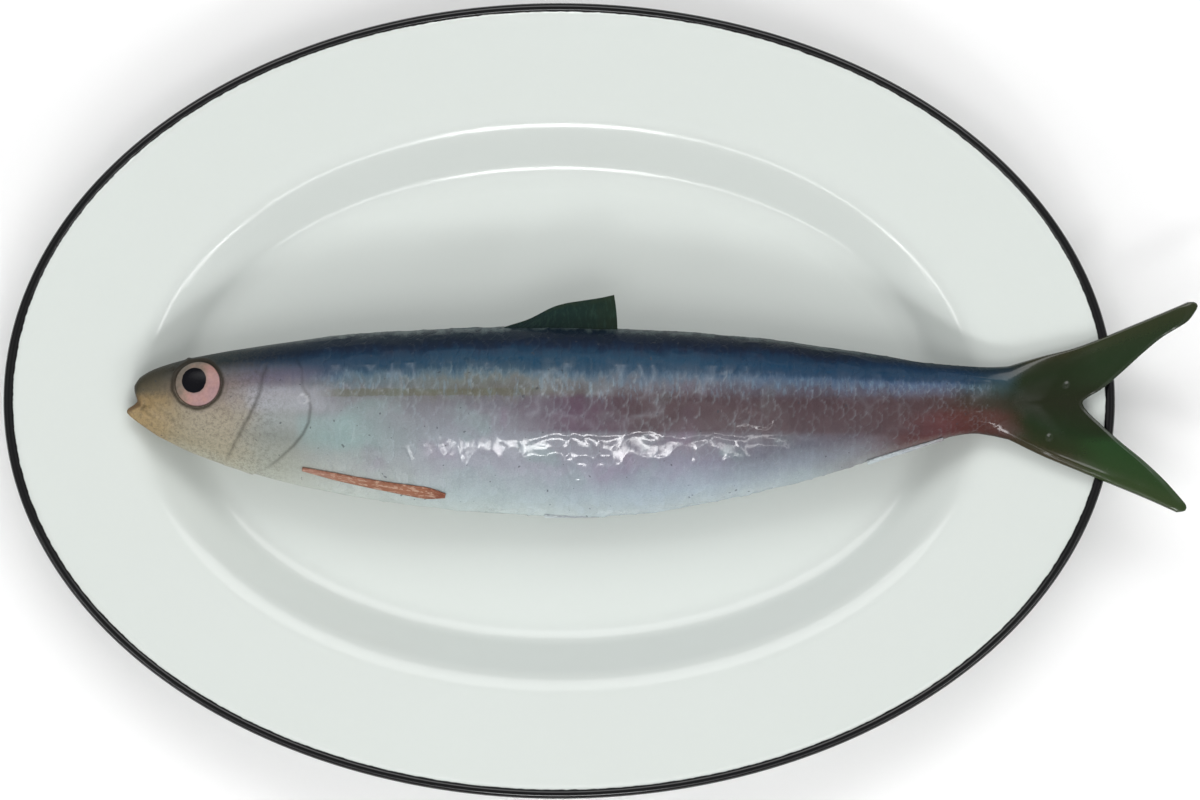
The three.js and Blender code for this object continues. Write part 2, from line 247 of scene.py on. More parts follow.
EYE_AT = (-97.1, 4.0)
EYE_RADIUS = 6.45
NOSTRIL_AT = (-104, 7.9)
CROWN_BUMP_AT = (-100, 11.2)
PALE_SPOT_AT = (-68.6, -0.6)
COVER_BLOTCH_AT = (-65.8, 2.2)
TAIL_BUMPS = [(136.6, 3.9), (131.8, -10.3)]
GILL_MARGIN = [
    (-70.5, 10), (-68.9, 7.6), (-68.6, 2.7), (-67, 0), (-66.4, -2.7), (-67, -6.8), (-68.6, -9.8),
    (-71.3, -12.8), (-75.3, -16), (-79.4, -18.5), (-85, -20),
]
CHEEK_LINE = [
    (-78.6, 8), (-79.4, 6.2), (-80.2, 1.4), (-81.3, -1.4), (-83.4, -5.4), (-86.1, -10), (-89.4, -15.5),
]
MOUTH_LINE = [(-114.4, -1.8), (-112.6, -2.8), (-110.4, -4.2), (-108.2, -6.4)]
JAW_PLATE = [(-113, 1.5), (-110.5, -0.8), (-107.5, -2.6), (-104.5, -4.6), (-103.2, -7)]


def section_width(share):
    """The section's width at a share of its half height, from 1 at the back to -1 at the belly."""
    def shape(v):
        return np.clip(1 - v, 0, 2) ** BACK_ROUNDNESS * np.clip(1 + v, 0, 2) ** BELLY_ROUNDNESS
    widest = (BELLY_ROUNDNESS - BACK_ROUNDNESS) / (BELLY_ROUNDNESS + BACK_ROUNDNESS)
    return shape(share) / shape(widest)


def skin(x, turn, grow=0.0):
    """Points of the skin. turn goes from 0 at the back through pi at the belly, by the left flank."""
    x, turn = np.broadcast_arrays(np.asarray(x, float), np.asarray(turn, float))
    roll = np.radians(ROLL_DEGREES(x))
    middle = (BACK_LINE(x) + BELLY_LINE(x)) / 2
    up = ((BACK_LINE(x) - BELLY_LINE(x)) / 2 + grow) * np.cos(turn)
    out = np.sign(np.sin(turn)) * (HALF_THICKNESS(x) + grow) * section_width(np.cos(turn))
    y = middle + up * np.cos(roll) - out * np.sin(roll)
    z = MIDDLE_HEIGHT(x) + up * np.sin(roll) + out * np.cos(roll)
    lowest = FLOOR_TOP - grow
    eased = lowest + FLATTENING * np.exp(np.minimum((z - lowest) / FLATTENING, 1) - 1)
    return np.stack([x, y, np.where(z < lowest + FLATTENING, eased, z)], axis=-1)


def skin_normal(x, turn):
    """Outward unit normals of the even skin."""
    step = 0.01
    along = skin(x + step, turn) - skin(x - step, turn)
    around = skin(x, turn + step) - skin(x, turn - step)
    across = np.cross(around, along)
    return across / np.linalg.norm(across, axis=-1, keepdims=True)


def turn_at(x, y):
    """The turn of the left flank's point that lies at height y, seen from above."""
    low, high = np.full(np.shape(x), 0.02), np.full(np.shape(x), math.pi - 0.02)
    for _ in range(30):
        middle = (low + high) / 2
        above = skin(x, middle)[..., 1] > y
        low, high = np.where(above, middle, low), np.where(above, high, middle)
    return (low + high) / 2


def on_flank(x, y, lift, side=1):
    """Points on the flank lifted off the skin. side is -1 for the right flank."""
    turn = side * turn_at(x, y)
    return skin(x, turn) + skin_normal(x, turn) * np.asarray(lift)[..., None]


# ---- skin relief

SCALE_LENGTH = 3.6        # a scale's height on the deepest part of the body
SCALE_COLUMN = 0.55       # column spacing and disc radius, in scale heights
SCALE_RADIUS = 0.74


def shingles(column, row):
    """Overlapping scales, each lying over the one behind it. Gives the rise towards the free
    edge, how close the edge is, and a random tone, each from 0 to 1."""
    home = np.floor(column / SCALE_COLUMN)
    front = np.full(column.shape, np.inf)
    rise = np.zeros(column.shape)
    edge = np.zeros(column.shape)
    tone = np.zeros(column.shape)
    for di in (-1, 0, 1, 2):
        i = home + di
        offset = np.mod(i, 2) / 2
        for dj in (-1, 0, 1):
            j = np.round(row - offset) + dj
            a = (i + 0.22 * (lattice(i, j, 1) - 0.5)) * SCALE_COLUMN
            b = j + offset + 0.2 * (lattice(i, j, 2) - 0.5)
            radius = SCALE_RADIUS * mix(0.94, 1.06, lattice(i, j, 3))
            r = np.hypot((column - a), (row - b)) / radius
            on_top = (r < 1) & (a < front)
            lifted = lattice(i, j, 4) ** 1.5
            front = np.where(on_top, a, front)
            rise = np.where(on_top, r**3 * mix(0.25, 1, lifted), rise)
            edge = np.where(on_top, hump((1 - r) * radius, 0.13) * lifted, edge)
            tone = np.where(on_top, lattice(i, j, 5), tone)
    return rise, edge, tone


def head_relief(x, y):
    """The head's plates and grooves over the even skin; how dark to paint them, which is painted shade
    in the grooves, the mouth slit, the nostril pit and round the eye socket, and dark colour in the
    spots on the crown and the gill cover; and how pale the torn scale behind the gill cover is."""
    margin_y, margin_x = np.array(sorted((q, p) for p, q in GILL_MARGIN)).T
    ahead = np.interp(y, margin_y, margin_x) - x
    cover_fade = plateau(-22, -18, 8, 12, y)
    cover = ease(-0.35, 0.35, ahead) * np.exp(-np.clip(ahead, 0, None) / 9) * cover_fade
    gill_far, gill_share = distance_to(GILL_MARGIN, x, y)
    cheek_far, cheek_share = distance_to(CHEEK_LINE, x, y)
    mouth_far, mouth_share = distance_to(MOUTH_LINE, x, y)
    plate_far, _ = distance_to(JAW_PLATE, x, y)
    eye_far = far_from(EYE_AT, x, y)
    relief = 0.55 * cover
    relief -= 0.3 * hump(gill_far + 0.2, 0.55) * np.sin(np.pi * np.clip(gill_share, 0.05, 0.95))
    relief -= 0.32 * hump(cheek_far, 0.5) * np.sin(np.pi * mix(0.15, 0.85, cheek_share))
    relief += 0.18 * hump(cheek_far - 1.1, 0.9) * (x < -76)
    relief -= mix(0.5, 0.08, mouth_share) * hump(mouth_far, 0.5)
    relief -= 0.1 * hump(plate_far, 0.5)
    relief += 0.2 * hump(eye_far - EYE_RADIUS - 0.5, 0.5)
    relief -= 1.6 * (1 - ease(EYE_RADIUS - 0.9, EYE_RADIUS - 0.1, eye_far))
    # Painted shade along the gill margin, cheek groove, mouth slit and jaw plate, round the eye socket
    # and in the nostril pit; the crown spot, cover blotch and broken outer eye ring are dark colour.
    lines = 0.6 * hump(gill_far, 0.42) * np.sin(np.pi * np.clip(gill_share, 0.1, 0.95))
    lines += 0.6 * hump(cheek_far, 0.5) * np.sin(np.pi * mix(0.2, 0.85, cheek_share))
    lines += 0.5 * hump(mouth_far, 0.4) * (1 - mouth_share) + 0.2 * hump(plate_far, 0.4)
    wobble = 0.25 * noise(x / 2.2, y / 2.2, 4.0)
    lines += 1.5 * hump(eye_far - EYE_RADIUS - 0.3 - wobble, 0.5)
    broken = ease(-0.2, 0.4, noise(x / 3, y / 3, 6.0))
    lines += 0.3 * hump(eye_far - EYE_RADIUS - 1.6 - wobble, 0.3) * broken
    nostril_far = far_from(NOSTRIL_AT, x, y)
    relief += 0.15 * hump(nostril_far - 0.9, 0.35) - 0.3 * hump(nostril_far, 0.5)
    lines += 0.6 * hump(nostril_far, 0.5)
    crown_far = far_from(CROWN_BUMP_AT, x, y)
    relief += 0.35 * hump(crown_far, 0.7)
    lines += 0.7 * hump(crown_far, 0.8)
    blotch_far = far_from(COVER_BLOTCH_AT, x, y, (1.1, 1.9))
    lines += 0.8 * hump(blotch_far, 0.8) * ease(-0.3, 0.3, wobble * 4)
    torn_x, torn_y = 0.5 * noise(x / 1.3, y / 1.3, 8.0), 0.5 * noise(x / 1.3, y / 1.3, 9.0)
    spot_far = far_from(PALE_SPOT_AT, x + torn_x, y + torn_y, (1.25, 0.8))
    relief += 0.34 * hump(spot_far - 1.0, 0.45)
    # The pale rim of the torn scale, brightest to the rear: partly a painted highlight.
    rearward = ease(-0.6, 0.6, x - PALE_SPOT_AT[0] - torn_y * 2)
    pale = hump(spot_far - 1.0, 0.3) * mix(0.35, 1.0, rearward)
    return relief, np.clip(lines, 0, 1), pale


# ---- the fish's skin, body and tail

SIDES = 224
BODY_STEP = 0.36
NOSE_LENGTH, NOSE_RINGS = 2.4, 16
TAIL_RINGS = 96
TAIL_SPREAD = 57.0        # from tip to tip

SMALLEST_SCALE = 1.2
SCALE_RISE = 0.12         # heights of the flank's relief
DENT_RISE = 0.13
TEAR_RISE = 0.18
CREASE_RISE = 0.42
STROKE_RISE = 0.34
SHINE_Y = -9.8            # the smoother stretch of the flank that takes the shine
SHINE_CALM = 0.68         # how much of the relief it loses
WRINKLE_Y = -10.2
LOWER_WRINKLE_DROP = 5.2


def body_grid():
    """Even skin points from the snout to the tail root, with their x and turn."""
    nose = SNOUT_X + NOSE_LENGTH * np.linspace(0.03, 1, NOSE_RINGS) ** 1.8
    count = int((TAIL_ROOT_X - nose[-1]) / BODY_STEP)
    xs = np.append(nose[:-1], np.linspace(nose[-1], TAIL_ROOT_X, count))
    turns = 2 * math.pi * np.arange(SIDES) / SIDES
    x, turn = np.meshgrid(xs, turns, indexing="ij")
    return x, turn


def tail_points(out, fan, turn_side):
    """The tail's surface, out from 0 at its root to 1 at its trailing edge and fan from 0 at the
    upper edge to 1 at the lower one, and how far in from those edges each point lies. turn_side
    is 1 on the left face and -1 on the right."""
    top, bottom = TAIL_UPPER_EDGE(0)[1], TAIL_LOWER_EDGE(0)[1]
    root = np.stack([np.full(fan.shape, TAIL_ROOT_X), mix(top, bottom, fan)], axis=-1)
    tip = TAIL_TRAIL(fan)
    flat = mix(root, tip, out[..., None])
    upper_bow = TAIL_UPPER_EDGE(out)[..., 1] - mix(top, TAIL_UPPER_EDGE(1)[1], out)
    lower_bow = TAIL_LOWER_EDGE(out)[..., 1] - mix(bottom, TAIL_LOWER_EDGE(1)[1], out)
    flat[..., 1] += upper_bow * np.clip(1 - 3 * fan, 0, 1) + lower_bow * np.clip(3 * fan - 2, 0, 1)
    edge = np.minimum(fan, 1 - fan) * mix(top - bottom, TAIL_SPREAD, out)
    round_by = mix(1.2, 2.8, ease(0.5, 0.8, fan))
    rim = np.sqrt(np.clip(1 - (1 - np.clip(edge / round_by, 0, 1)) ** 2, 0, 1))
    blade = 0.6 + 0.6 * hump(edge - 0.6, 2.2) * (1 - 0.7 * out) + 0.5 * np.exp(-out * 4)
    stalk = HALF_THICKNESS(TAIL_ROOT_X) * section_width(1 - 2 * fan)
    thin = ease(-0.1, 0.5, out) - ease(-0.1, 0.5, 0) * (1 - ease(0, 0.2, out))
    half = mix(stalk, blade * rim, thin)
    half *= 1 - 0.55 * ease(0.93, 1, out)
    z = MIDDLE_HEIGHT(flat[..., 0])
    return np.stack([flat[..., 0], flat[..., 1], z + turn_side * half], axis=-1), edge


def tail_grid(turns):
    """Rings of the tail that carry on from the trunk's last one, and the fan of each point."""
    out, turn = np.meshgrid(np.linspace(0, 1, TAIL_RINGS + 1)[1:] ** 0.9, turns, indexing="ij")
    face = np.where(turn > math.pi, -1, 1)
    folded = np.where(face < 0, 2 * math.pi - turn, turn)
    fan = mix((1 - np.cos(folded)) / 2, folded / math.pi, ease(0, 0.5, out))
    points, edge = tail_points(out, fan, face)
    x, y = points[..., 0], points[..., 1]
    wave = noise(x / 11, y / 7, 2.0) + 0.4 * noise(x / 3, y / 3)
    wave *= 0.14 * plateau(0.05, 0.3, 0.9, 1, out) * ease(0, 2, edge)
    on_face = np.sin(turn) ** 2 > 1e-6
    points[..., 2] += np.where(on_face, face * wave, 0)

    # A fine ridge behind the lower edge, and small bumps near the root.
    raised = 0.22 * hump(edge - 1.5, 0.5) * (fan > 0.5) * plateau(0.02, 0.1, 0.5, 0.65, out)
    for bump in TAIL_BUMPS:
        raised += 0.5 * hump(far_from(bump, x, y, (0.8, 1.0)), 0.7)
    points[..., 2] += np.where(face > 0, raised, 0)
    return points, fan


def scale_places(x, left):
    """The length round the skin from the back, and each point's column and row among the scales."""
    steps = np.linalg.norm(np.diff(left, axis=1, append=left[:, :1]), axis=-1)
    half = SIDES // 2
    arc = np.zeros(x.shape)
    arc[:, 1:half + 1] = np.cumsum(steps[:, :half], axis=1)
    arc[:, half + 1:] = arc[:, half - 1:0:-1]
    size = SCALE_LENGTH * np.sqrt(arc[:, half] / arc[:, half].max())
    size = np.maximum(size, SMALLEST_SCALE)[:, None]
    columns = np.cumsum(np.gradient(x[:, 0])[:, None] / size, axis=0)
    return arc, np.repeat(columns, SIDES, axis=1), arc / size


def flank_relief(x, y, turn, share, arc, rise, scaled):
    """The scales, dents, creases, wrinkles and strokes of the trunk, and how strong each stroke is."""
    side = np.where(turn > math.pi, 9.0, 0.0)
    dents = noise(x / 9, arc / 6, side) + 0.6 * noise(x / 3.7, arc / 5, side + 3)
    torn = 1 - np.abs(noise(x / 6.5, arc / 3.2, side + 5))
    drift = 2.0 * noise(x / 7, arc / 4.2, side + 8)
    crease = 1 - np.abs(noise((x + drift) / 4.6, arc / 11, side + 7))
    creased = ease(0.0, 0.5, noise(x / 8, arc / 8, side + 11)) * (share < 0.8)
    patches = 0.45 + 0.55 * ease(-0.3, 0.6, noise(x / 14, arc / 9, side))
    relief = SCALE_RISE * rise * patches
    relief += DENT_RISE * dents + TEAR_RISE * torn**4 + CREASE_RISE * crease**10 * creased

    stroke = 1 - np.abs(noise((x + drift) / 3.3, arc / 6.5, side + 13))
    patchy = ease(-0.25, 0.35, noise(x / 6, arc / 7, side + 15)) * mix(1, 0.45, ease(20, 60, x))
    patchy *= (share < 0.78) * ease(0.08, 0.36, share)
    stroke = scaled * patchy * stroke**9
    calm = plateau(-50, -40, 50, 58, x) * hump(y - SHINE_Y, 5)
    relief = (scaled * relief + STROKE_RISE * stroke) * (1 - SHINE_CALM * calm)

    waver = y - WRINKLE_Y + 1.5 * noise(x / 6, 4.5) + 0.5 * noise(x / 2, 7.5)
    wrinkle = 0.26 * hump(waver, 0.85) + 0.16 * hump(waver + LOWER_WRINKLE_DROP, 0.9) * (x < 14)
    relief += wrinkle * plateau(-12, -6, 47, 53, x) * (turn < math.pi)
    return relief + (1 - scaled) * 0.05 * dents, stroke


def skin_faces(rings):
    """The skin's rings, closed by a fan at the nose and a seam along the tail's trailing edge."""
    faces = [face[::-1] for face in ring_faces(rings, SIDES)]
    nose = rings * SIDES
    faces += [(nose, side, (side + 1) % SIDES) for side in range(SIDES)]
    last = (rings - 1) * SIDES
    for side in range(SIDES // 2):
        a, b = last + side, last + side + 1
        c, d = last + (SIDES - side - 1) % SIDES, last + (SIDES - side) % SIDES
        if side == 0:
            faces.append((c, b, a))
        elif b == c:
            faces.append((d, b, a))
        else:
            faces.append((d, c, b, a))
    return faces


def make_skin():
    """The head, trunk and tail as one closed skin, with what its material needs at each point."""
    x, turn = body_grid()
    even = skin(x, turn)
    left = skin(x, np.where(turn > math.pi, 2 * math.pi - turn, turn))
    y = left[..., 1]
    normals = skin_normal(x, np.where(np.isin(turn, (0, math.pi)), turn + 1e-3, turn))
    share = (y - BELLY_LINE(x)) / np.maximum(BACK_LINE(x) - BELLY_LINE(x), 0.5)

    arc, column, row = scale_places(x, left)
    rise, edge, tone = shingles(column, row)
    scaled = plateau(-70, -60, 112, 122, x)
    head = 1 - ease(-64, -56, x)
    marks, lines, pale = head_relief(x, y)
    folds, stroke = flank_relief(x, y, turn, share, arc, rise, scaled)
    relief = (marks * head + folds) * ease(SNOUT_X, SNOUT_X + 2.5, x)
    relief *= ease(2.2, 4.5, even[..., 2])
    points = even + normals * relief[..., None]
    points[..., 0] += JAW_SETBACK(y) * (1 - ease(-114.6, -108, x)) * ease(SNOUT_X, SNOUT_X + 0.8, x)

    tail, fan = tail_grid(turn[0])
    grid = np.concatenate([points, tail])
    nose_point = [[SNOUT_X + 0.05, -3.0, MIDDLE_HEIGHT(SNOUT_X)]]
    vertices = np.concatenate([grid.reshape(-1, 3), nose_point])

    def joined(trunk_values, tail_values, nose_value=0.0):
        trunk_values = np.broadcast_to(trunk_values, x.shape)
        tail_values = np.broadcast_to(tail_values, fan.shape)
        return np.append(np.concatenate([trunk_values, tail_values]).ravel(), nose_value)

    attributes = {
        "along": joined(x, tail[..., 0], SNOUT_X),
        "height_y": joined(y, tail[..., 1], -3.0),
        "share": joined(share, 1 - fan, 0.5),
        "column": joined(column, column[-1, 0] + (tail[..., 0] - TAIL_ROOT_X) / 2.2),
        "row": joined(row, fan * 12),
        "scale_edge": joined(edge * scaled, 0),
        "scale_tone": joined(mix(0.5, tone, scaled), 0.5, 0.5),
        "stroke": joined(stroke, 0),
        "lines": joined(lines * head, 0),
        "pale": joined(pale * head, 0),
    }
    return make_mesh("herring_skin", vertices, skin_faces(len(grid)), attributes, FISH_Y)


# ---- fins


def fin_sheet(name, middle, half, columns, rows, relief):
    """A thin closed fin about the middle surface middle(u, v), with raised rays."""
    u, v = np.meshgrid(np.linspace(0, 1, columns), np.linspace(0, 1, rows), indexing="ij")
    points = middle(u, v)
    du, dv = np.gradient(points, axis=0), np.gradient(points, axis=1)
    normal = np.cross(du, dv)
    normal /= np.maximum(np.linalg.norm(normal, axis=-1, keepdims=True), 1e-9)
    bulk = normal * (half(u, v) + relief(u, v))[..., None]
    vertices = np.concatenate([(points + bulk).reshape(-1, 3), (points - bulk).reshape(-1, 3)])
    attributes = {"fin_u": np.tile(u.ravel(), 2), "fin_v": np.tile(v.ravel(), 2)}
    return make_mesh(name, vertices, sheet_faces(columns, rows), attributes, FISH_Y)


DORSAL_LOW, DORSAL_HIGH = box_mm("dorsal_fin")
DORSAL_HEIGHT = smooth([
    (-16.7, -0.8), (-14.3, 0.3), (-8, 2.4), (-1.9, 5.5), (1.5, 6.6), (5.7, 7.4), (11, 8.4), (15.7, 9.6),
])
DORSAL_LEAN = math.radians(10)
DORSAL_RAYS = 15

# The folded fins, each from start to end along the flank by its half widths.
PECTORAL_FIN = {
    "start": (-69, -18.4), "end": (-30.6, -25.4), "rays": 5, "lift": 0.55,
    "widths": (0.35, 0.6, 0.8, 0.9, 1.0, 1.1, 1.25, 1.3, 0.5),
}
PELVIC_FIN = {
    "start": (-4, -30.6), "end": (13, -31.0), "rays": 3, "lift": 0.12, "widths": (0.4, 0.6, 0.6, 0.25),
}
ANAL_FIN = {
    "start": (83, -16.2), "end": (103.5, -9.9), "rays": 4, "lift": 0.45,
    "widths": (0.3, 0.7, 0.8, 0.6, 0.2),
}


def make_dorsal_fin():
    """The half-folded back fin, standing on the ridge of the back."""
    def middle(u, v):
        x = mix(DORSAL_LOW[0], DORSAL_HIGH[0] - 0.9 * v**2, u)
        height = mix(-1.2, DORSAL_HEIGHT(x), v)
        ridge = skin(x, 0.0)
        sway = 0.35 * np.sin(3 * u + 1.5 * v) * v
        ridge[..., 1] += height * math.cos(DORSAL_LEAN) - sway * math.sin(DORSAL_LEAN)
        ridge[..., 2] += height * math.sin(DORSAL_LEAN) + sway * math.cos(DORSAL_LEAN)
        return ridge

    def half(u, v):
        return 0.2 + 0.45 * (1 - v) ** 1.5 + 0.25 * hump(u, 0.12)

    def rays(u, v):
        lean = u - 0.35 * v * (1 - u)
        return 0.13 * np.abs(np.cos(math.pi * DORSAL_RAYS * lean)) ** 1.5 * (1 - 0.6 * v)

    return fin_sheet("dorsal_fin_blade", middle, half, 200, 40, rays)


def folded_fin(name, side, start, end, widths, rays, lift):
    """A fin folded flat on the flank and lifted off it. side is -1 for the right flank."""
    profile = smooth([(i / (len(widths) - 1), w) for i, w in enumerate(widths)])

    def middle(u, v):
        x = mix(start[0], end[0], u)
        slope = (end[1] - start[1]) / (end[0] - start[0])
        spread = profile(u) * (2 * v - 1)
        bend = 0.5 * np.sin(math.pi * u)
        y = mix(start[1], end[1], u) - spread - bend
        return on_flank(x + spread * slope, y, np.full(x.shape, lift), side)

    def half(u, v):
        round_edge = np.sqrt(np.clip(1 - (2 * v - 1) ** 2, 0, 1))
        return 0.08 + 0.42 * round_edge * (1 - 0.5 * u)

    def ridges(u, v):
        wander = 0.04 * np.sin(9 * u)
        return 0.09 * np.abs(np.cos(math.pi * rays * (v + wander))) * (1 - 0.5 * u)

    return fin_sheet(name, middle, half, 120, 28, ridges)


# ---- eyes

EYE_DOME = 1.2
EYE_RIM_DEPTH = 0.45
PUPIL_AT = (-0.13, 0.115)  # in eye radii, as is the pupil's size
PUPIL_RADIUS = 0.505


def make_eye(name, side):
    """A dome over the socket: a rim sunk in the skin, the iris and a slightly raised pupil."""
    rings, sides = 40, 96
    radii = np.linspace(1, 0.02, rings)
    angles = 2 * math.pi * np.arange(sides) / sides
    r, a = np.meshgrid(radii, angles, indexing="ij")
    dx, dy = EYE_RADIUS * r * np.cos(a), EYE_RADIUS * r * np.sin(a)
    dome = EYE_DOME * np.sqrt(np.clip(1 - r**2.4, 0, 1)) - EYE_RIM_DEPTH
    front = on_flank(EYE_AT[0] + dx, EYE_AT[1] + dy, dome, side)
    back = on_flank(EYE_AT[0] + dx, EYE_AT[1] + dy, -0.95 - 0.8 * (1 - r), side)
    centre_lift = np.array([0.85, -1.8])
    centre = on_flank(np.full(2, EYE_AT[0]), np.full(2, EYE_AT[1]), centre_lift, side)
    vertices = np.concatenate([front.reshape(-1, 3), back.reshape(-1, 3), centre])
    count = rings * sides
    faces = ring_faces(rings, sides)
    faces += [tuple(v + count for v in reversed(face)) for face in ring_faces(rings, sides)]
    inner = (rings - 1) * sides
    for i in range(sides):
        j = (i + 1) % sides
        faces.append((inner + i, inner + j, 2 * count))
        faces.append((count + inner + j, count + inner + i, 2 * count + 1))
        faces.append((j, i, count + i, count + j))
    if side < 0:
        faces = [face[::-1] for face in faces]
    attributes = {
        key: np.append(np.tile(values.ravel(), 2), [0, 0])
        for key, values in (("eye_r", r), ("eye_x", dx / EYE_RADIUS), ("eye_y", dy / EYE_RADIUS))
    }
    return make_mesh(name, vertices, faces, attributes, FISH_Y)


# ---- plate

SHEET = 1.2
BEAD_RADIUS = 1.3
INSET_STRETCH = 1.1
WELL_FOOT = (44.6, SHEET / 2)
SHOULDER = (31.2, 11.7)
FOOT_REACH = 4.5
SHOULDER_REACH = 4.0
CORNER_STEPS = 14
FLOOR_INSETS = (95, 80, 60)
PLATE_SIDES = 360


def corner(before, at, after, reach):
    """A round corner of the sheet's middle line, as points."""
    before, at, after = (np.array(p, float) for p in (before, at, after))
    start = at + (before - at) * reach / np.linalg.norm(before - at)
    end = at + (after - at) * reach / np.linalg.norm(after - at)
    t = np.linspace(0, 1, CORNER_STEPS)[:, None]
    return (1 - t) ** 2 * start + 2 * t * (1 - t) * at + t * t * end


def plate_outline():
    """The sheet's closed outline, as inset and height, from the floor round the bead and back."""
    bead = np.array([BEAD_RADIUS, PLATE_HIGH[2] - BEAD_RADIUS])
    floor = (WELL_FOOT[0] + 20, WELL_FOOT[1])
    flange_way = (np.array(SHOULDER) - bead) / np.linalg.norm(np.array(SHOULDER) - bead)
    middle = np.concatenate([
        [(inset, WELL_FOOT[1]) for inset in FLOOR_INSETS],
        corner(floor, WELL_FOOT, SHOULDER, FOOT_REACH),
        corner(WELL_FOOT, SHOULDER, bead, SHOULDER_REACH),
        [bead + flange_way * d for d in (20, 12, 6, 3, BEAD_RADIUS * 1.25)],
    ])
    along = np.gradient(middle, axis=0)
    along /= np.linalg.norm(along, axis=1, keepdims=True)
    across = np.stack([along[:, 1], -along[:, 0]], axis=1) * SHEET / 2
    angles = np.radians(np.arange(36, 325, 12))
    round_bead = bead + BEAD_RADIUS * np.stack([np.cos(angles), np.sin(angles)], axis=1)
    return np.concatenate([middle + across, round_bead, (middle - across)[::-1]])


def make_plate():
    """The oval plate, as its outline swept round, with a faint sag in the flange."""
    outline = plate_outline()
    angles = 2 * math.pi * np.arange(PLATE_SIDES) / PLATE_SIDES
    inset, angle = np.meshgrid(outline[:, 0], angles, indexing="ij")
    height = np.repeat(outline[:, 1][:, None], PLATE_SIDES, axis=1)
    x = (PLATE_HIGH[0] - INSET_STRETCH * inset) * np.cos(angle)
    y = (PLATE_HIGH[1] - inset) * np.sin(angle)
    sag = 0.1 * noise(x / 60, y / 45) * plateau(3, 12, 30, 40, inset)
    grid = np.stack([x, y, height + sag], axis=-1)
    rings = len(outline)
    vertices = np.concatenate([grid.reshape(-1, 3), [(0, 0, SHEET), (0, 0, 0)]])
    faces = ring_faces(rings, PLATE_SIDES)
    last = (rings - 1) * PLATE_SIDES
    top, bottom = rings * PLATE_SIDES, rings * PLATE_SIDES + 1
    for i in range(PLATE_SIDES):
        j = (i + 1) % PLATE_SIDES
        faces.append((j, i, top))
        faces.append((last + i, last + j, bottom))
    attributes = {"inset": np.append(inset.ravel(), [100, 100])}
    return make_mesh("enamel_plate", vertices, faces, attributes)


# ---- materials


def linear(rgb, gain=1.0, veil=0.0):
    """A colour given as 0 to 255 screen values, as linear light, less the veil its gloss adds."""
    c = np.array(rgb, float) / 255
    c = (np.where(c <= 0.04045, c / 12.92, ((c + 0.055) / 1.055) ** 2.4) - veil) * gain
    return (*np.clip(c, 0, 1).tolist(), 1.0)


COLOUR_MIX_SOCKETS = (0, 6, 7)  # factor, A and B


